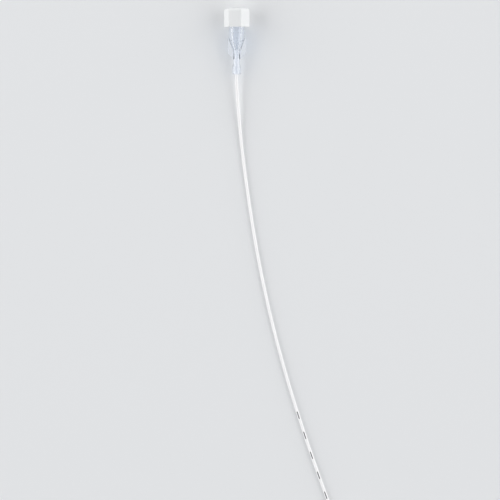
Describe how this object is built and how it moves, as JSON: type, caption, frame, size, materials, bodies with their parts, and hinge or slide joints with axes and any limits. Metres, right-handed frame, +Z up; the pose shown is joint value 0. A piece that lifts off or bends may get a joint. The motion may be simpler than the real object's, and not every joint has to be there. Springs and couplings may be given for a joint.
{
  "type": "umbilical catheter",
  "caption": "Fine catheter tube with depth marks, fixed in a clear finned hub whose tapered socket is closed by a white hexagonal screw cap.",
  "frame": {"origin": "on the table, under the middle of the hub and its cap", "axes": "+Y along the hub towards the cap, +Z up, +X to the hub's right; the hub lies as it comes to rest, 4.71 degrees tail down, so its own axis is (0, 0.99662, 0.08215)"},
  "size_m": [0.0758, 0.2651, 0.0114],
  "materials": {
    "cap_plastic": "satin white moulding",
    "hub_plastic": "clear moulding with a pale blue tint",
    "tube_plastic": "smooth white extrusion"
  },
  "bodies": {
    "hub": {"hub": "hub_plastic", "catheter_tube": "tube_plastic", "tube_coil": "tube_plastic", "tube_tip": "tube_plastic"},
    "cap": {"cap": "cap_plastic"}
  },
  "joints": [
    {"name": "cap_off", "type": "slide", "parent": "hub", "child": "cap", "axis": [0, 0.9966, 0.0822], "range_m": [0, 0.022]}
  ]
}
